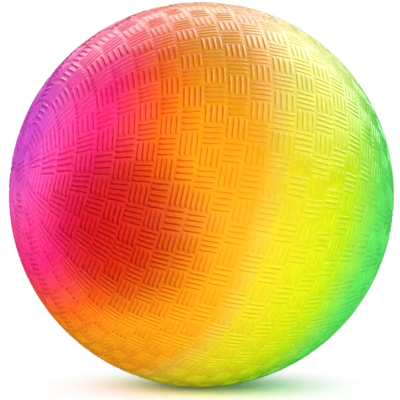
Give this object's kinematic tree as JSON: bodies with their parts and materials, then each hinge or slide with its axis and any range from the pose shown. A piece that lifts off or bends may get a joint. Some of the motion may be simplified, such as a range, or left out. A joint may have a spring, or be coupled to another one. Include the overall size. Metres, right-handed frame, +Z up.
{
  "type": "dodgeball",
  "caption": "Inflatable rubber playground ball: a round grip-ribbed cover over a thread-wound carcass and a bladder, with a recessed needle valve.",
  "frame": {"origin": "the ball's centre", "axes": "+Z is up as the ball lies in the picture, and -Y faces the camera. The valve's axis leaves the centre towards +X, turned 18 degrees towards +Y and dropped 11 degrees below the horizontal."},
  "size_m": [0.216, 0.216, 0.216],
  "materials": {
    "painted_cover": "moulded rubber with a smooth satin paint that fades from magenta through red, orange and yellow to green",
    "nylon_thread": "white nylon thread, wound every way and bonded with latex",
    "bladder_rubber": "black butyl sheet, matt",
    "patch_fabric": "rubberised cotton fabric, matt",
    "housing_rubber": "moulded black rubber, matt",
    "core_rubber": "soft moulded dark grey rubber, matt"
  },
  "bodies": {
    "ball": {"cover": "painted_cover", "carcass_winding": "nylon_thread", "bladder": "bladder_rubber", "valve_patch": "patch_fabric", "valve_housing": "housing_rubber"},
    "core": {"valve_core": "core_rubber"}
  },
  "joints": [
    {"name": "core_pull", "type": "slide", "parent": "ball", "child": "core", "axis": [0.9336, 0.3033, -0.1908], "range_m": [0, 0.022]}
  ]
}
